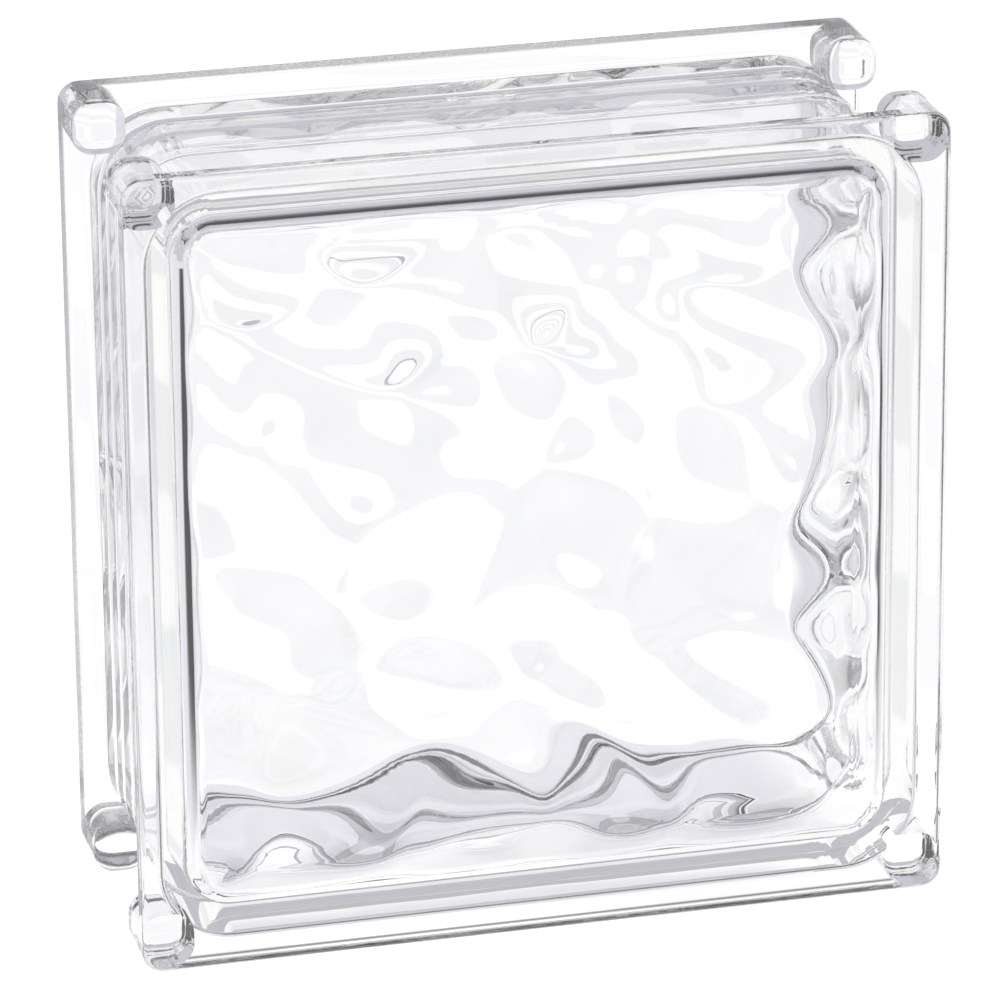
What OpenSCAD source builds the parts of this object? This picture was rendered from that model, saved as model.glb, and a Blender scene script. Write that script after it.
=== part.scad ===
// Hollow glass block with a wavy face: two pressed half-shells, fused rim to rim.
// +X runs along the width, +Y runs from the front face to the back face, +Z is up.
// The origin is the middle of the bottom side, on the surface the block stands on.

/* [Block] */
// Width across the rim of the face
face_w = 196.9; // [120:0.1:300]
// Height across the rim of the face
face_h = 196.9; // [120:0.1:300]
// Depth from face plane to face plane
block_d = 79.4; // [70:0.1:120]

/* [Rim] */
// How far the rim stands out past the side walls
rim_reach = 6.3; // [3:0.1:10]
// Thickness of the rim behind the face plane
rim_t = 6; // [4:0.1:9]
// Radius of the block's outer corners, on rims and lugs alike
outer_corner_r = 5; // [3:0.1:6.4]
// Rounding along the rim's edges
rim_edge_r = 1.4; // [0.5:0.1:2]
// Fillet where the side walls meet the rim
neck_r = 1.8; // [0.5:0.1:2.5]

/* [Corner lugs] */
// Side of the square lug at each corner
lug_side = 13; // [11:0.1:18]
// Reach of a lug from the face plane towards the seam
lug_l = 22; // [12:0.1:30]
// Rounding around the lug's tip
lug_tip_r = 4.2; // [0.5:0.1:4.8]

/* [Shell] */
// Thickness of the side walls at the seam
wall_t = 4.8; // [4:0.1:9]
// Draft: growth of the wall's thickness from the seam to the face plate
wall_draft = 1; // [0.2:0.1:2]
// Middle thickness of the face plate
plate_t = 8; // [7:0.1:12]
// Outer corner radius of the side walls
body_corner_r = 17; // [12:0.1:24]
// Rounding inside, where the walls meet the face plate
root_r = 10; // [5:0.1:11]
// Rounding of the outer edge along the fused seam
seam_r = 0.7; // [0.3:0.1:1.5]
// Radius of the bead that the fused seam leaves inside
bead_r = 0.8; // [0.4:0.1:1.5]

/* [Mould marks] */
// Radius of the two round marks on the back half's top wall
mark_r = 1.6; // [1:0.1:3]
// Distance between the middles of the two marks
mark_gap = 14; // [8:0.5:40]
// Distance of the marks from the seam
mark_back = 20; // [4:0.5:24]
// Height of the marks above the wall
mark_rise = 0.3; // [0.2:0.1:0.6]

/* [Waves inside the faces] */
// Rise and fall of the waves about the middle thickness
wave_amp = 1.9; // [0.4:0.1:2.6]
// Width of one wave from crease to crease
wave_l = 35; // [28:1:60]
// Sideways wander of the creases
wave_wander = 9; // [0:1:16]
// Softness of the creases between the waves
wave_soft = 0.2; // [0.1:0.05:0.6]
// Distance from the walls over which the waves calm down
calm_reach = 14; // [4:1:30]
// Share of the waves that is left at the walls
calm_share = 0.3; // [0:0.05:1]
// Grid cells along each side of the wavy surface
wave_cells = 48; // [24:1:50]

/* [Hidden] */
$fn = 64;

half_d = block_d / 2;
body_w = face_w - 2 * rim_reach;
body_h = face_h - 2 * rim_reach;
// Flat left over between the foot's rounding and the corner's axis.
foot_spare = 0.2;
cavity_w = body_w - 2 * wall_t;
cavity_h = body_h - 2 * wall_t;
// The corner is never tighter than the rounding of the wall's foot needs.
cavity_corner_r = max(body_corner_r - wall_t, root_r + wall_draft + foot_spare);
// The pan is cut a little deeper than the deepest wave, and the wavy surface fills it back up.
pan_spare = 0.4;
pan_floor = plate_t - wave_amp - pan_spare;
// Length by which a cutting shape runs past the surface it cuts.
overrun = 1;
// Depth to which a mark is rooted in the wall.
mark_root = 1;
// Width that the wavy surface has to spare outside the cavity walls.
wave_margin = 2;

glass_tint = [0.87, 0.91, 0.91, 0.45];

// One family of bulges, from -1 along the creases to 1 along the crowns.
function bulges(turns) =
    2 * sqrt((pow(sin(180 * turns), 2) + pow(wave_soft, 2)) / (1 + pow(wave_soft, 2))) - 1;

// Height of the waves at a place on the face, from -1 to 1.
function swell(x, y) =
    let (
        across = x + wave_wander * sin(360 * y / (2.6 * wave_l) + 35),
        up = y + wave_wander * sin(360 * x / (3.1 * wave_l) + 115)
    )
    0.40 * bulges(across / wave_l + 0.15)
    + 0.30 * bulges(up / (0.85 * wave_l) + 0.3)
    + 0.30 * bulges((across - up) / (1.15 * wave_l) + 0.1);

// Share of the full waves at a distance from the nearest wall.
function strength(from_wall) =
    let (t = max(0, min(1, from_wall / calm_reach)))
    calm_share + (1 - calm_share) * t * t * (3 - 2 * t);

// Thickness of the face plate at a place on the face.
function thickness(x, y) =
    let (from_wall = min(cavity_w / 2 - abs(x), cavity_h / 2 - abs(y)))
    plate_t + wave_amp * (strength(from_wall) * (1 + swell(x, y)) - 1);

// Section of a slab's margin: square to the inside, rounded at the low and high outer edges.
module margin_profile(reach, thick, low_r, high_r) {
    union() {
        translate([0, low_r]) square([reach, thick - low_r - high_r]);
        square([reach - low_r, thick / 2]);
        translate([0, thick / 2]) square([reach - high_r, thick / 2]);
        if (low_r > 0) translate([reach - low_r, low_r]) circle(low_r);
        if (high_r > 0)
            intersection() {
                translate([reach - high_r, thick - high_r]) circle(high_r);
                square([reach, thick]);
            }
    }
}

// Rectangular slab with round corners, and rounded edges at its low and high faces.
module rounded_slab(w, h, thick, corner_r, low_r, high_r) {
    core_w = w - 2 * corner_r;
    core_h = h - 2 * corner_r;
    union() {
        linear_extrude(thick) square([core_w, core_h], center = true);
        around(core_w, core_h) margin_profile(corner_r, thick, low_r, high_r);
    }
}

// Sweeps a section round a rectangle whose corners are the section's turning points.
module around(core_w, core_h) {
    for (quarter = [0:3]) {
        out = (quarter % 2 == 0 ? core_w : core_h) / 2;
        run = quarter % 2 == 0 ? core_h : core_w;
        rotate(90 * quarter) translate([out, run / 2, 0]) {
            rotate([90, 0, 0]) linear_extrude(run) children();
            rotate_extrude(angle = 90) children();
        }
    }
}

// Square rim, flush with the face plane.
module rim() {
    rounded_slab(face_w, face_h, rim_t, outer_corner_r, rim_edge_r, rim_edge_r);
}

// Fillet in the corner between the rim's inner side and the side walls.
module neck() {
    around(body_w - 2 * body_corner_r, body_h - 2 * body_corner_r)
        difference() {
            translate([body_corner_r - neck_r, rim_t - neck_r]) square(2 * neck_r);
            translate([body_corner_r + neck_r, rim_t + neck_r]) circle(neck_r);
        }
}

// Outside of the recessed body, from the face plane to the seam.
module body_block() {
    rounded_slab(body_w, body_h, half_d, body_corner_r, 0, seam_r);
}

// Spacer lugs at the four corners, flush with the rim's outer edges.
module lugs() {
    for (side_x = [-1, 1], side_y = [-1, 1])
        translate([side_x * (face_w - lug_side) / 2, side_y * (face_h - lug_side) / 2, 0])
            rounded_slab(lug_side, lug_side, lug_l, outer_corner_r, rim_edge_r, lug_tip_r);
}

// Everything from the wavy surface to past the seam.
module wave_cutter() {
    n = wave_cells;
    span_w = cavity_w + 2 * wave_margin;
    span_h = cavity_h + 2 * wave_margin;
    top = half_d + overrun;
    grid = [
        for (j = [0:n], i = [0:n])
            let (x = span_w * (i / n - 0.5), y = span_h * (j / n - 0.5))
            [x, y, thickness(x, y)]
    ];
    lid = [
        for (side = [[-1, -1], [1, -1], [1, 1], [-1, 1]])
            [side[0] * span_w / 2, side[1] * span_h / 2, top]
    ];
    row = n + 1;
    first_lid = row * row;
    cells = [
        for (j = [0:n - 1], i = [0:n - 1], half = [0, 1])
            let (a = j * row + i, b = a + 1, c = a + row + 1, d = a + row)
            half == 0 ? [a, b, c] : [a, c, d]
    ];
    near = [for (i = [n:-1:0]) i];
    right = [for (j = [n:-1:0]) j * row + n];
    far = [for (i = [0:n]) n * row + i];
    left = [for (j = [0:n]) j * row];
    polyhedron(
        points = concat(grid, lid),
        faces = concat(
            cells,
            [
                concat(near, [first_lid, first_lid + 1]),
                concat(right, [first_lid + 1, first_lid + 2]),
                concat(far, [first_lid + 2, first_lid + 3]),
                concat(left, [first_lid + 3, first_lid]),
                [first_lid + 3, first_lid + 2, first_lid + 1, first_lid]
            ]
        )
    );
}

// Section of the hollow's margin: a rounded foot, a drafted wall, and the seam's bead at its top.
module pan_profile(reach, deep) {
    wall_run = sqrt(pow(wall_draft, 2) + pow(deep, 2));
    foot = reach - wall_draft - root_r * (wall_run - wall_draft) / deep;
    difference() {
        union() {
            polygon([
                [0, 0],
                [foot, 0],
                [foot + root_r * deep / wall_run, root_r * (1 - wall_draft / wall_run)],
                [reach, deep],
                [reach, deep + overrun],
                [0, deep + overrun]
            ]);
            intersection() {
                translate([foot, root_r]) circle(root_r);
                square([reach, deep]);
            }
        }
        translate([reach, deep]) circle(bead_r);
    }
}

// Hollow of one half, open at the seam.
module hollow() {
    deep = half_d - pan_floor;
    core_w = cavity_w - 2 * cavity_corner_r;
    core_h = cavity_h - 2 * cavity_corner_r;
    intersection() {
        translate([0, 0, pan_floor]) {
            linear_extrude(deep + overrun) square([core_w, core_h], center = true);
            around(core_w, core_h) pan_profile(cavity_corner_r, deep);
        }
        wave_cutter();
    }
}

// One pressed half: face plane at zero, seam at half the block's depth.
module half_shell() {
    difference() {
        union() {
            rim();
            neck();
            body_block();
            lugs();
        }
        hollow();
    }
}

// Two round mould marks on the upper wall, in the block's own frame.
module mould_marks() {
    for (side = [-1, 1])
        translate([side * mark_gap / 2, mark_back, face_h - rim_reach - mark_root])
            cylinder(h = mark_root + mark_rise, r = mark_r);
}

module front_half() {
    color(glass_tint)
        translate([0, -half_d, face_h / 2]) rotate([-90, 0, 0]) half_shell();
}

module back_half() {
    color(glass_tint)
        union() {
            translate([0, half_d, face_h / 2]) rotate([90, 0, 0]) half_shell();
            mould_marks();
        }
}

front_half();
back_half();
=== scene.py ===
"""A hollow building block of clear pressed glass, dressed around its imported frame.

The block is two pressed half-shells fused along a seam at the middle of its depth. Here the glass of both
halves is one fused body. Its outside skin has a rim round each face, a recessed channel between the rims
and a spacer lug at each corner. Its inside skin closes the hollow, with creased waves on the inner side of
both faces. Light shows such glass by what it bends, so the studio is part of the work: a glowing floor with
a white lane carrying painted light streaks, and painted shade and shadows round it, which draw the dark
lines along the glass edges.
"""

import logging
import math
from collections.abc import Callable, Iterable
from dataclasses import dataclass, field
from enum import Enum
from typing import Union

import bmesh
import bpy
from mathutils import Matrix, Vector


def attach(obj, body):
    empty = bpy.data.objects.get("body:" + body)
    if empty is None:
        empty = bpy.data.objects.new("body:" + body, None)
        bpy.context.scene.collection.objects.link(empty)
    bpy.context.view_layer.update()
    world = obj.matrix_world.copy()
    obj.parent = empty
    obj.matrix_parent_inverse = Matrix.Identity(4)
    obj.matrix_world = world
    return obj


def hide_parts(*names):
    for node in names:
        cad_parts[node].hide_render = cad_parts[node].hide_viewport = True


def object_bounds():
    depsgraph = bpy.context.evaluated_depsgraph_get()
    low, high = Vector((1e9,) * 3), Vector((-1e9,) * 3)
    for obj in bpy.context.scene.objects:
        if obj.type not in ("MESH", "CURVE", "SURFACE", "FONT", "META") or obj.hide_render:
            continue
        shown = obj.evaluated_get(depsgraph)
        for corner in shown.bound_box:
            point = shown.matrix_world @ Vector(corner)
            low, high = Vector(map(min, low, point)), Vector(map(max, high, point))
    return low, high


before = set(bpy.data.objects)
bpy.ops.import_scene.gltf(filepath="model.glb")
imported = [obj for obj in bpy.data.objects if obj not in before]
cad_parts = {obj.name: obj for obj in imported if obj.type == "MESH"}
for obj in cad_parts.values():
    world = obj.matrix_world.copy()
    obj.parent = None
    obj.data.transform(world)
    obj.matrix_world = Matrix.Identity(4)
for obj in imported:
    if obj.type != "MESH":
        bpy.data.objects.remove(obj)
cad_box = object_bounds()

MM = 0.001
TURN = 2.0 * math.pi
Colour = tuple[float, float, float]
log = logging.getLogger("glass_block")


class Face(Enum):
    """The two faces of the block, each with the sign of its direction along Y."""

    FRONT = -1
    BACK = 1


class Axis(Enum):
    """The three directions of the frame, as indices of a vector."""

    X = 0
    Y = 1
    Z = 2


# --- Sizes ---------------------------------------------------------------------------------------------


@dataclass(frozen=True)
class BlockSizes:
    """Sizes of the block in metres, apart from its overall box, which comes from the frame."""

    rim_reach: float = 6.3 * MM
    rim_t: float = 6.0 * MM
    outer_corner_r: float = 5.0 * MM
    rim_edge_r: float = 1.4 * MM
    neck_r: float = 1.8 * MM
    lug_side: float = 13.0 * MM
    lug_l: float = 22.0 * MM
    lug_tip_r: float = 4.2 * MM
    wall_t: float = 4.8 * MM
    wall_draft: float = 1.0 * MM
    plate_t: float = 8.0 * MM
    body_corner_r: float = 17.0 * MM
    root_r: float = 10.0 * MM
    seam_r: float = 0.7 * MM
    bead_r: float = 0.8 * MM
    mark_r: float = 1.6 * MM
    mark_gap: float = 14.0 * MM
    mark_back: float = 20.0 * MM
    mark_rise: float = 0.3 * MM


@dataclass(frozen=True)
class CreasedWaves:
    """The waves pressed into the inner side of each face: smooth bulges that meet in soft creases."""

    amp: float = 1.9 * MM
    length: float = 35.0 * MM
    wander: float = 9.0 * MM
    crease: float = 0.2
    calm_reach: float = 14.0 * MM
    calm_share: float = 0.3

    def bulges(self, turns: float) -> float:
        """One family of bulges, from -1 along its creases to 1 along its crowns."""
        soft = self.crease ** 2
        return 2.0 * math.sqrt((math.sin(math.pi * turns) ** 2 + soft) / (1.0 + soft)) - 1.0

    def swell(self, x: float, y: float) -> float:
        """Height of the waves at a place on the face.

        Args:
            x: Distance from the middle of the face across it.
            y: Distance from the middle of the face along its height, as the half-shell counts it.

        Returns:
            The height, from -1 to 1.
        """
        across = x + self.wander * math.sin(TURN * y / (2.6 * self.length) + math.radians(35))
        up = y + self.wander * math.sin(TURN * x / (3.1 * self.length) + math.radians(115))
        return (
            0.40 * self.bulges(across / self.length + 0.15)
            + 0.30 * self.bulges(up / (0.85 * self.length) + 0.3)
            + 0.30 * self.bulges((across - up) / (1.15 * self.length) + 0.1)
        )

    def strength(self, from_wall: float) -> float:
        """Share of the full waves at a distance from the nearest wall, so the corners stay clean."""
        t = max(0.0, min(1.0, from_wall / self.calm_reach))
        return self.calm_share + (1.0 - self.calm_share) * t * t * (3.0 - 2.0 * t)


# --- Mesh helpers --------------------------------------------------------------------------------------


def pour(source: bmesh.types.BMesh, target: bmesh.types.BMesh) -> None:
    """Adds one bmesh to another and frees it."""
    scratch = bpy.data.meshes.new("scratch")
    source.to_mesh(scratch)
    source.free()
    target.from_mesh(scratch)
    bpy.data.meshes.remove(scratch)


def mesh_object(bm: bmesh.types.BMesh, name: str) -> bpy.types.Object:
    """Turns a finished bmesh into a linked object at the origin, and frees the bmesh."""
    mesh = bpy.data.meshes.new(name)
    bm.to_mesh(mesh)
    bm.free()
    made = bpy.data.objects.new(name, mesh)
    bpy.context.scene.collection.objects.link(made)
    return made


def slice_across(bm: bmesh.types.BMesh, axis: Axis, places: Iterable[float]) -> None:
    """Cuts new edges into a mesh where planes square to an axis cross it.

    Args:
        bm: The mesh that is cut.
        axis: Direction that the planes face.
        places: Where each plane lies along that direction.
    """
    facing = Vector((0.0, 0.0, 0.0))
    facing[axis.value] = 1.0
    for place in places:
        bmesh.ops.bisect_plane(
            bm, geom=bm.verts[:] + bm.edges[:] + bm.faces[:], dist=1e-7,
            plane_co=facing * place, plane_no=facing,
        )


@dataclass
class Slab:
    """A slab that faces along Y, with round corners and rounded edges at its two ends."""

    size: Vector
    centre: Vector
    corner_r: float
    low_r: float = 0.0
    high_r: float = 0.0
    corner_steps: int = 10
    edge_steps: int = 5

    def round_edges(self, bm: bmesh.types.BMesh, edges: list, radius: float, steps: int) -> None:
        """Rounds some edges of the slab with the same radius."""
        bmesh.ops.bevel(
            bm, geom=edges, offset=radius, offset_type="OFFSET", segments=steps,
            profile=0.5, affect="EDGES", material=-1,
        )

    def mesh(self) -> bmesh.types.BMesh:
        """Builds the slab as a bmesh of its own."""
        bm = bmesh.new()
        bmesh.ops.create_cube(bm, size=1.0)
        bmesh.ops.scale(bm, vec=self.size, verts=bm.verts)
        along = [e for e in bm.edges if abs(e.verts[0].co.y - e.verts[1].co.y) > self.size.y / 2]
        self.round_edges(bm, along, self.corner_r, self.corner_steps)
        for face, radius in ((Face.FRONT, self.low_r), (Face.BACK, self.high_r)):
            if radius > 0.0:
                end = face.value * self.size.y / 2
                rim = [e for e in bm.edges if all(abs(v.co.y - end) < 1e-7 for v in e.verts)]
                self.round_edges(bm, rim, radius, self.edge_steps)
        bmesh.ops.translate(bm, vec=self.centre, verts=bm.verts)
        return bm

    def push_walls(self, bm: bmesh.types.BMesh, rule: Callable[[float], float]) -> None:
        """Moves the slab's side walls in or out by an amount that depends on the place along Y.

        Args:
            bm: The slab's mesh, cut across Y wherever the amount bends.
            rule: Gives the outward move at a distance from the slab's middle.
        """
        core_x = self.size.x / 2 - self.corner_r
        core_z = self.size.z / 2 - self.corner_r
        for v in bm.verts:
            off = v.co - self.centre
            core = Vector((
                max(-core_x, min(core_x, off.x)), 0.0, max(-core_z, min(core_z, off.z)),
            ))
            out = Vector((off.x, 0.0, off.z)) - core
            if out.length > 1e-6:
                moved = core + out * (1.0 + rule(abs(off.y)) / self.corner_r)
                v.co.x = self.centre.x + moved.x
                v.co.z = self.centre.z + moved.z


def arc_steps(radius: float, steps: int) -> list[float]:
    """Distances from a fillet's start at which its arc is cut, crowded where it bends most."""
    return [radius * (1.0 - math.cos(TURN / 4 * i / steps)) for i in range(steps + 1)]


def arc_gap(radius: float, along: float) -> float:
    """How far a fillet of some radius stands off its wall at a distance from its start."""
    return radius - math.sqrt(max(radius ** 2 - (radius - along) ** 2, 0.0))


# --- The block -----------------------------------------------------------------------------------------


@dataclass
class GlassBody:
    """The fused glass of both halves: the outside skin and the sealed hollow."""

    low: Vector
    high: Vector
    sizes: BlockSizes = field(default_factory=BlockSizes)
    waves: CreasedWaves = field(default_factory=CreasedWaves)
    wave_pitch: float = 1.8 * MM
    foot_blend: float = 0.8 * MM
    pan_spare: float = 0.4 * MM
    sharp_over: float = 32.0

    @property
    def middle(self) -> Vector:
        """Centre of the block."""
        return (self.low + self.high) / 2

    @property
    def size(self) -> Vector:
        """Overall width, depth and height."""
        return self.high - self.low

    def inset_size(self, inset: float, end_inset: float) -> Vector:
        """Overall size less a margin at the four sides and another at the two faces."""
        return self.size - 2 * Vector((inset, end_inset, inset))

    def walls(self) -> bpy.types.Object:
        """Builds the recessed body, with a fillet at each rim and a fine groove along the seam."""
        s = self.sizes
        slab = Slab(self.inset_size(s.rim_reach, s.rim_t / 2), self.middle, s.body_corner_r)
        rim_inner = self.size.y / 2 - s.rim_t
        bm = slab.mesh()
        bends = arc_steps(s.seam_r, 4) + [rim_inner - along for along in arc_steps(s.neck_r, 5)]
        places = {round(self.middle.y + face.value * bend, 7) for bend in bends for face in Face}
        slice_across(bm, Axis.Y, sorted(places))

        def flare(away: float) -> float:
            """Outward move of the wall at a distance from the seam."""
            if away < s.seam_r:
                return -arc_gap(s.seam_r, away)
            to_rim = max(rim_inner - away, 0.0)
            return arc_gap(s.neck_r, to_rim) if to_rim < s.neck_r else 0.0

        slab.push_walls(bm, flare)
        return mesh_object(bm, "walls")

    def rim(self, face: Face) -> bpy.types.Object:
        """Builds the square rim round one face."""
        s = self.sizes
        centre = self.middle + Vector((0, face.value * (self.size.y - s.rim_t) / 2, 0))
        size = Vector((self.size.x, s.rim_t, self.size.z))
        return mesh_object(Slab(size, centre, s.outer_corner_r, s.rim_edge_r, s.rim_edge_r).mesh(), "rim")

    def lugs(self, face: Face) -> list[bpy.types.Object]:
        """Builds the four spacer lugs behind one rim, each rooted a little way inside it."""
        s = self.sizes
        start = s.rim_t / 3
        size = Vector((s.lug_side, s.lug_l - start, s.lug_side))
        reach = (self.size - size) / 2 - Vector((0, start, 0))
        low_tip, high_tip = (0.0, s.lug_tip_r) if face is Face.FRONT else (s.lug_tip_r, 0.0)
        made = []
        for side_x in (-1, 1):
            for side_z in (-1, 1):
                centre = self.middle + Vector((side_x * reach.x, face.value * reach.y, side_z * reach.z))
                slab = Slab(size, centre, s.outer_corner_r, low_tip, high_tip)
                made.append(mesh_object(slab.mesh(), "lug"))
        return made

    def mould_marks(self) -> list[bpy.types.Object]:
        """Builds the two small round marks on the upper wall of the back half."""
        s = self.sizes
        made = []
        for side in (-1, 1):
            bm = bmesh.new()
            bmesh.ops.create_cone(
                bm, cap_ends=True, segments=32, radius1=s.mark_r, radius2=s.mark_r - s.mark_rise / 2,
                depth=2 * s.mark_rise,
            )
            place = Vector((
                self.middle.x + side * s.mark_gap / 2,
                self.middle.y + s.mark_back,
                self.high.z - s.rim_reach,
            ))
            bmesh.ops.translate(bm, vec=place, verts=bm.verts)
            made.append(mesh_object(bm, "mark"))
        return made

    def outside(self) -> bmesh.types.BMesh:
        """Joins walls, rims, lugs and marks into the outside skin."""
        body = self.walls()
        parts = [self.rim(face) for face in Face]
        parts += [lug for face in Face for lug in self.lugs(face)]
        parts += self.mould_marks()
        for part in parts:
            joiner = body.modifiers.new("join", "BOOLEAN")
            joiner.operation = "UNION"
            joiner.solver = "EXACT"
            joiner.object = part
        graph = bpy.context.evaluated_depsgraph_get()
        joined = bpy.data.meshes.new_from_object(body.evaluated_get(graph))
        bm = bmesh.new()
        bm.from_mesh(joined)
        bpy.data.meshes.remove(joined)
        for used in (body, *parts):
            bpy.data.objects.remove(used)
        bmesh.ops.remove_doubles(bm, verts=bm.verts, dist=1e-6)
        bmesh.ops.recalc_face_normals(bm, faces=bm.faces)
        return bm

    def hollow(self) -> bmesh.types.BMesh:
        """Builds the sealed hollow as a solid, with a drafted wall, a seam bead and two wavy ends."""
        s = self.sizes
        pan_floor = s.plate_t - self.waves.amp - self.pan_spare
        corner_r = s.body_corner_r - s.wall_t
        slab = Slab(
            self.inset_size(s.rim_reach + s.wall_t, pan_floor), self.middle,
            corner_r, s.root_r, s.root_r, 12, 14,
        )
        bm = slab.mesh()
        bead = {face.value * s.bead_r * math.sin(TURN / 4 * i / 5) for i in range(6) for face in Face}
        slice_across(bm, Axis.Y, sorted(self.middle.y + along for along in bead))
        for axis in (Axis.X, Axis.Z):
            extent = slab.size[axis.value]
            count = int(extent / self.wave_pitch)
            start = self.middle[axis.value] - extent / 2
            slice_across(bm, axis, [start + extent * i / count for i in range(1, count)])

        def close_in(away: float) -> float:
            """Outward move of the hollow's wall at a distance from the seam."""
            drafted = -s.wall_draft * min(away / (slab.size.y / 2), 1.0)
            return drafted - math.sqrt(s.bead_r ** 2 - away ** 2) if away < s.bead_r else drafted

        slab.push_walls(bm, close_in)
        self.press_waves(bm)
        return bm

    def press_waves(self, bm: bmesh.types.BMesh) -> None:
        """Raises both ends of the hollow to the wavy surface wherever they lie deeper than it.

        Args:
            bm: The hollow's mesh, cut finely enough to carry the waves.
        """
        s = self.sizes
        half_span = self.inset_size(s.rim_reach + s.wall_t, 0.0) / 2
        for v in bm.verts:
            side = 1 if v.co.y > self.middle.y else -1
            face_y = self.middle.y + side * self.size.y / 2
            thick = abs(face_y - v.co.y)
            # Both halves come from one mould, and the back one is turned over about the X axis.
            across = v.co.x - self.middle.x
            up = side * (v.co.z - self.middle.z)
            from_wall = min(half_span.x - abs(across), half_span.z - abs(up))
            rise = self.waves.strength(from_wall) * (1.0 + self.waves.swell(across, up))
            wave = s.plate_t + self.waves.amp * (rise - 1.0)
            near = max(self.foot_blend - abs(thick - wave), 0.0) / self.foot_blend
            thick = max(thick, wave) + near * near * self.foot_blend / 4
            v.co.y = face_y - side * thick

    def build(self) -> bpy.types.Object:
        """Builds the fused glass: the outside skin, and the hollow's skin facing inwards."""
        bm = self.outside()
        inner = self.hollow()
        bmesh.ops.recalc_face_normals(inner, faces=inner.faces)
        bmesh.ops.reverse_faces(inner, faces=inner.faces)
        pour(inner, bm)
        piece = mesh_object(bm, "fused_glass")
        piece.data.shade_smooth()
        piece.data.set_sharp_from_angle(angle=math.radians(self.sharp_over))
        flat = piece.modifiers.new("flat_faces_stay_flat", "WEIGHTED_NORMAL")
        flat.keep_sharp = True
        flat.weight = 100
        return piece


# --- Shader helpers ------------------------------------------------------------------------------------


class Value:
    """A socket of a node tree that takes part in Python arithmetic by adding Math nodes."""

    def __init__(self, tree: "Tree", socket: bpy.types.NodeSocket) -> None:
        """Keeps the socket and the tree that it belongs to."""
        self.tree = tree
        self.socket = socket

    def maths(self, operation: str, *terms: "Term") -> "Value":
        """Adds one Math node with this operation and these terms."""
        return self.tree.node("ShaderNodeMath", {"operation": operation}, dict(enumerate(terms))).out(0)

    def __add__(self, other: "Term") -> "Value":
        """Sum."""
        return self.maths("ADD", self, other)

    def __radd__(self, other: "Term") -> "Value":
        """Sum with the number first."""
        return self.maths("ADD", other, self)

    def __sub__(self, other: "Term") -> "Value":
        """Difference."""
        return self.maths("SUBTRACT", self, other)

    def __rsub__(self, other: "Term") -> "Value":
        """Difference with the number first."""
        return self.maths("SUBTRACT", other, self)

    def __mul__(self, other: "Term") -> "Value":
        """Product."""
        return self.maths("MULTIPLY", self, other)

    def __rmul__(self, other: "Term") -> "Value":
        """Product with the number first."""
        return self.maths("MULTIPLY", other, self)

    def __truediv__(self, other: "Term") -> "Value":
        """Quotient."""
        return self.maths("DIVIDE", self, other)

    def __pow__(self, other: "Term") -> "Value":
        """Power."""
        return self.maths("POWER", self, other)

    def __abs__(self) -> "Value":
        """Distance from zero."""
        return self.maths("ABSOLUTE", self)

    def sine(self) -> "Value":
        """Sine of the value in radians."""
        return self.maths("SINE", self)

    def sign(self) -> "Value":
        """The sign alone: -1, 0 or 1."""
        return self.maths("SIGN", self)

    def step(self, start: float, end: float) -> "Value":
        """Smooth step from 0 at start to 1 at end, which may lie below start."""
        settings = {"interpolation_type": "SMOOTHSTEP"}
        inputs = {"Value": self, "From Min": start, "From Max": end}
        return self.tree.node("ShaderNodeMapRange", settings, inputs).out(0)

    def between(self, start: float, end: float, soft: float) -> "Value":
        """Mask that is 1 between two values and falls to 0 within a soft margin inside them."""
        return self.step(start, start + soft) * self.step(end, end - soft)


Term = Union[Value, float]


class Node:
    """A node whose outputs are read as values."""

    def __init__(self, tree: "Tree", node: bpy.types.Node) -> None:
        """Keeps the node and its tree."""
        self.tree = tree
        self.node = node

    def out(self, key: Union[str, int]) -> Value:
        """One output, by its name or index."""
        return Value(self.tree, self.node.outputs[key])


class Tree:
    """A node tree that grows by one call a node."""

    def __init__(self, tree: bpy.types.NodeTree) -> None:
        """Keeps the tree."""
        self.tree = tree

    def node(self, kind: str, settings: dict | None = None, inputs: dict | None = None) -> Node:
        """Adds a node.

        Args:
            kind: The node's type.
            settings: Properties of the node, which are set before its sockets.
            inputs: Values or links of its sockets, by name or index.

        Returns:
            The new node.
        """
        made = self.tree.nodes.new(kind)
        for name, setting in (settings or {}).items():
            setattr(made, name, setting)
        self.fill(made, inputs or {})
        return Node(self, made)

    def fill(self, node: bpy.types.Node, inputs: dict) -> None:
        """Sets or links sockets of a node that is already there."""
        for key, given in inputs.items():
            if isinstance(given, Value):
                self.tree.links.new(given.socket, node.inputs[key])
            else:
                node.inputs[key].default_value = given

    def blend(self, mask: Value, zero: Union[Value, Colour], one: Union[Value, Colour]) -> Value:
        """Mixes two colours.

        Args:
            mask: Share of the second colour.
            zero: Colour where the mask is 0.
            one: Colour where the mask is 1.

        Returns:
            The mixed colour.
        """
        ends = [end if isinstance(end, Value) else (*end, 1.0) for end in (zero, one)]
        return self.node("ShaderNodeMix", {"data_type": "RGBA"}, {0: mask, 6: ends[0], 7: ends[1]}).out(2)

    def axes(self, coordinates: str) -> tuple[Value, Value, Value]:
        """The three parts of one kind of texture coordinate."""
        place = self.node("ShaderNodeTexCoord").out(coordinates)
        parts = self.node("ShaderNodeSeparateXYZ", None, {0: place})
        return parts.out("X"), parts.out("Y"), parts.out("Z")


def new_material(name: str) -> tuple[bpy.types.Material, Tree, bpy.types.Node]:
    """Starts a material.

    Args:
        name: The material's name.

    Returns:
        The material, its tree and its shader.
    """
    material = bpy.data.materials.new(name)
    material.use_nodes = True
    return material, Tree(material.node_tree), material.node_tree.nodes["Principled BSDF"]


# --- Finish --------------------------------------------------------------------------------------------


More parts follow.
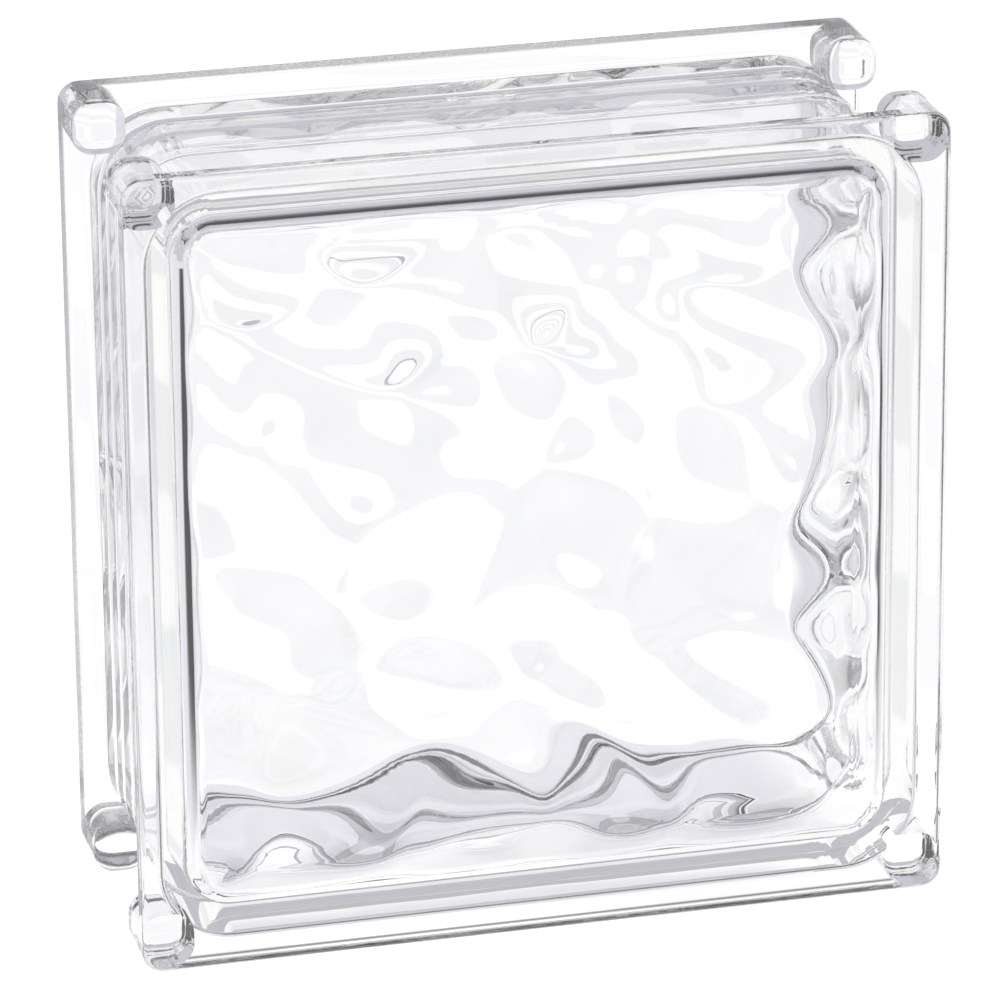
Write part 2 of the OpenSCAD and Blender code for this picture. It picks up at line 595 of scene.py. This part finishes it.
@dataclass(frozen=True)
class ClearGlass:
    """Clear pressed glass with a fire-polished skin and a faint cast where it is thick."""

    ior: float = 1.52
    cast: Colour = (0.865, 0.87, 0.855)
    cast_density: float = 12.0
    clean: Colour = (1.0, 1.0, 1.0)
    filmed: Colour = (0.975, 0.978, 0.985)
    frost_rough: float = 0.35
    # Grey base colour of the frosted strips: painted shade.
    frost_and_shade_grey: Colour = (0.52, 0.52, 0.53)
    frost_depth: float = 0.5 * MM
    frost_from: float = 30.0 * MM
    dimple_scale: float = 55.0
    dimple_depth: float = 0.05 * MM
    grain_scale: float = 1400.0
    grain_depth: float = 0.05 * MM

    def material(self, middle: Vector, size: Vector) -> bpy.types.Material:
        """Builds the glass: tint, film, roughness and the polished skin's faint unevenness.

        Args:
            middle: Centre of the block.
            size: Overall width, depth and height of the block.

        Returns:
            The glass.
        """
        material, tree, shader = new_material("clear_glass")
        place = tree.node("ShaderNodeTexCoord").out("Object")
        dimples = tree.node(
            "ShaderNodeTexNoise", None, {"Vector": place, "Scale": self.dimple_scale, "Detail": 0.0},
        ).out("Fac")
        grain = tree.node(
            "ShaderNodeTexNoise", None, {"Vector": place, "Scale": self.grain_scale, "Detail": 0.0},
        ).out("Fac")
        x, y, z = tree.axes("Object")
        aside = abs(x - middle.x) - size.x / 2
        above = abs(z - middle.z) - size.z / 2
        outermost = aside.maths("MAXIMUM", aside, above)
        edge = outermost.step(-self.frost_depth, -self.frost_depth / 2)
        back_rim = (y - middle.y).step(self.frost_from, self.frost_from + self.frost_depth)
        frost = edge * back_rim * (0.5 + grain)
        polished = tree.blend(dimples.step(0.35, 0.75), self.clean, self.filmed)
        skin = tree.node(
            "ShaderNodeBump", None,
            {"Height": dimples * self.dimple_depth + frost * grain * self.grain_depth, "Distance": 1.0},
        )
        # On the frosted strips the roughness and grain are the real frost, and the grey base colour is
        # painted shade.
        tree.fill(shader, {
            "Base Color": tree.blend(frost, polished, self.frost_and_shade_grey),
            "Roughness": frost * self.frost_rough,
            "IOR": self.ior,
            "Transmission Weight": 1.0,
            "Normal": skin.out("Normal"),
        })
        body = tree.node(
            "ShaderNodeVolumeAbsorption", None, {"Color": (*self.cast, 1.0), "Density": self.cast_density},
        )
        output = material.node_tree.nodes["Material Output"]
        tree.fill(output, {"Volume": body.out("Volume")})
        return material


# --- Studio --------------------------------------------------------------------------------------------


@dataclass(frozen=True)
class PaperFloor:
    """Pale floor that glows: a white lane through under the block with painted light streaks, and painted
    shade and shadows round it.
    """

    half_side: float = 6.0
    drop: float = 0.2 * MM
    white: Colour = (1.15, 1.15, 1.15)
    # Painted light streaks: the lane's glow alternates between the white above and this dimmer white.
    painted_dim_streak: Colour = (1.02, 1.02, 1.03)
    stripe_pitch: float = 0.16
    stripe_lean: float = 0.6
    # Painted shade and painted shadows on the glowing floor: beside the lane, in front, two dark patches,
    # under the rear half, under the front rim, and a far line.
    pale: Colour = (0.83, 0.82, 0.87)
    before: Colour = (0.60, 0.595, 0.64)
    shade: Colour = (0.07, 0.07, 0.06)
    under: Colour = (0.88, 0.87, 0.93)
    contact_shadow: Colour = (0.10, 0.10, 0.085)
    far_shadow_line: Colour = (0.55, 0.54, 0.60)
    lane_left: float = 0.132
    lane_left_turn: float = 0.10
    lane_right: float = 0.128
    lane_right_turn: float = 0.45
    lane_soft: float = 0.03
    shadow_line_place: float = 0.76
    shadow_line_w: float = 0.03
    shade_aside: float = 0.43
    shade_ahead: float = -0.06
    shade_reach: float = 0.29
    shade_w: float = 0.18

    def glow(self, tree: Tree) -> Value:
        """Builds the colour that the floor glows with.

        Args:
            tree: The floor material's tree.

        Returns:
            The colour over the floor.
        """
        x, y, _ = tree.axes("Object")
        aside, away = abs(x), abs(y)
        forward = x * y.sign()
        # Outside the lane the floor glows dimmer: painted shade.
        left = (forward - (away * self.lane_left_turn - self.lane_left)).step(-self.lane_soft, 0.0)
        right = ((away * self.lane_right_turn + self.lane_right) - forward).step(-self.lane_soft, 0.0)
        # Two dark soft ellipses beside the block: painted shadow patches.
        ring = abs((aside - self.shade_aside) / self.shade_reach) ** 2.0
        ring = ring + abs((y - self.shade_ahead) / self.shade_w) ** 2.0
        beside = tree.blend(ring.step(1.0, 0.35), self.pale, self.shade)
        # Streaks of brighter and dimmer glow across the lane: painted light.
        turns = (x + y * self.stripe_lean) * (TURN / self.stripe_pitch)
        streaked_lane = tree.blend(turns.sine().step(-0.15, 0.15), self.white, self.painted_dim_streak)
        colour = tree.blend(left * right, beside, streaked_lane)
        # A grey band across the floor, as far in front of the block as behind it: a painted shadow line.
        edge = away.between(self.shadow_line_place - self.shadow_line_w / 2, self.shadow_line_place + self.shadow_line_w / 2, 0.01)
        colour = tree.blend(edge, colour, self.far_shadow_line)
        # Painted shade on the floor under the rear half of the block.
        rear_half = aside.step(0.085, 0.065) * y.between(0.010, 0.060, 0.010)
        colour = tree.blend(rear_half, colour, self.under)
        # Painted shade on the floor in front of the block.
        colour = tree.blend(y.step(-0.12, -0.18), colour, self.before)
        # A dark strip under the front rim: a painted shadow where the block stands on the floor.
        foot = aside.step(0.092, 0.088) * y.between(-0.0345, -0.029, 0.0015)
        return tree.blend(foot, colour, self.contact_shadow)

    def build(self, floor_z: float) -> bpy.types.Object:
        """Builds the floor just under the block.

        Args:
            floor_z: Height of the surface that the block stands on.

        Returns:
            The floor's object.
        """
        bm = bmesh.new()
        bmesh.ops.create_grid(bm, x_segments=1, y_segments=1, size=self.half_side)
        bmesh.ops.translate(bm, vec=Vector((0, 0, floor_z - self.drop)), verts=bm.verts)
        floor = mesh_object(bm, "floor")
        material, tree, shader = new_material("paper_floor")
        tree.fill(shader, {
            "Base Color": (0.02, 0.02, 0.02, 1.0),
            "Roughness": 1.0,
            "Specular IOR Level": 0.0,
            "Emission Color": self.glow(tree),
            "Emission Strength": 1.0,
        })
        floor.data.materials.append(material)
        return floor


@dataclass(frozen=True)
class SoftRoom:
    """The light all round: a pale wall behind, a soft grey ceiling, and dark to the sides and the front."""

    wall: Colour = (0.60, 0.59, 0.65)
    sides: Colour = (0.62, 0.61, 0.66)
    ceiling: Colour = (0.60, 0.59, 0.65)
    zenith: Colour = (0.05, 0.05, 0.05)
    front: Colour = (0.10, 0.10, 0.09)

    def build(self) -> bpy.types.World:
        """Builds the world that lights the block."""
        world = bpy.data.worlds.new("soft_room")
        world.use_nodes = True
        tree = Tree(world.node_tree)
        x, y, z = tree.axes("Generated")
        colour = tree.blend(abs(y).step(0.35, 0.85), self.sides, self.wall)
        colour = tree.blend(z.step(0.12, 0.40), colour, self.ceiling)
        colour = tree.blend(z.step(0.70, 0.93), colour, self.zenith)
        colour = tree.blend(y.step(-0.1, -0.5) * x.step(-0.35, -0.15), colour, self.front)
        tree.fill(world.node_tree.nodes["Background"], {"Color": colour})
        return world


@dataclass(frozen=True)
class Studio:
    """Floor, surroundings and camera, with enough light bounces for nested glass."""

    floor: PaperFloor = field(default_factory=PaperFloor)
    room: SoftRoom = field(default_factory=SoftRoom)
    bounces: int = 24
    lens: float = 252.0
    sensor: float = 36.0
    eye: tuple[float, float, float] = (-0.3767, -1.5191, 0.6975)
    yaw: float = 13.89
    pitch: float = 21.04
    roll: float = -0.53

    def camera(self) -> bpy.types.Object:
        """Builds the camera from where it stands and how it is turned."""
        yaw, pitch, roll = (math.radians(a) for a in (self.yaw, self.pitch, self.roll))
        ahead = Vector((
            math.sin(yaw) * math.cos(pitch), math.cos(yaw) * math.cos(pitch), -math.sin(pitch),
        ))
        level = Vector((math.cos(yaw), -math.sin(yaw), 0.0))
        above = level.cross(ahead)
        right = math.cos(roll) * level + math.sin(roll) * above
        upright = math.cos(roll) * above - math.sin(roll) * level
        turn = Matrix((right, upright, -ahead)).transposed()
        data = bpy.data.cameras.new("camera")
        data.lens = self.lens
        data.sensor_width = self.sensor
        data.clip_start = 0.05
        data.clip_end = 50.0
        made = bpy.data.objects.new("camera", data)
        made.matrix_world = Matrix.Translation(Vector(self.eye)) @ turn.to_4x4()
        return made

    def build(self, floor_z: float) -> None:
        """Sets up the whole studio.

        Args:
            floor_z: Height of the surface that the block stands on.
        """
        scene = bpy.context.scene
        self.floor.build(floor_z)
        scene.world = self.room.build()
        scene.view_settings.view_transform = "Standard"
        scene.cycles.max_bounces = self.bounces
        scene.cycles.glossy_bounces = self.bounces
        scene.cycles.transmission_bounces = self.bounces
        camera = self.camera()
        scene.collection.objects.link(camera)
        scene.camera = camera
        log.info("studio: %d bounces, lens %.0f mm", self.bounces, self.lens)


def main() -> None:
    """Builds the block and its studio."""
    logging.basicConfig(level=logging.INFO, format="%(message)s")
    low, high = (Vector(corner) for corner in cad_box)
    body = GlassBody(low, high)
    piece = body.build()
    piece.data.materials.append(ClearGlass().material(body.middle, body.size))
    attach(piece, "root")
    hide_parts("front_half", "back_half")
    log.info("fused_glass: %d vertices, %d faces", len(piece.data.vertices), len(piece.data.polygons))
    Studio().build(low.z)


if __name__ == "__main__":
    main()
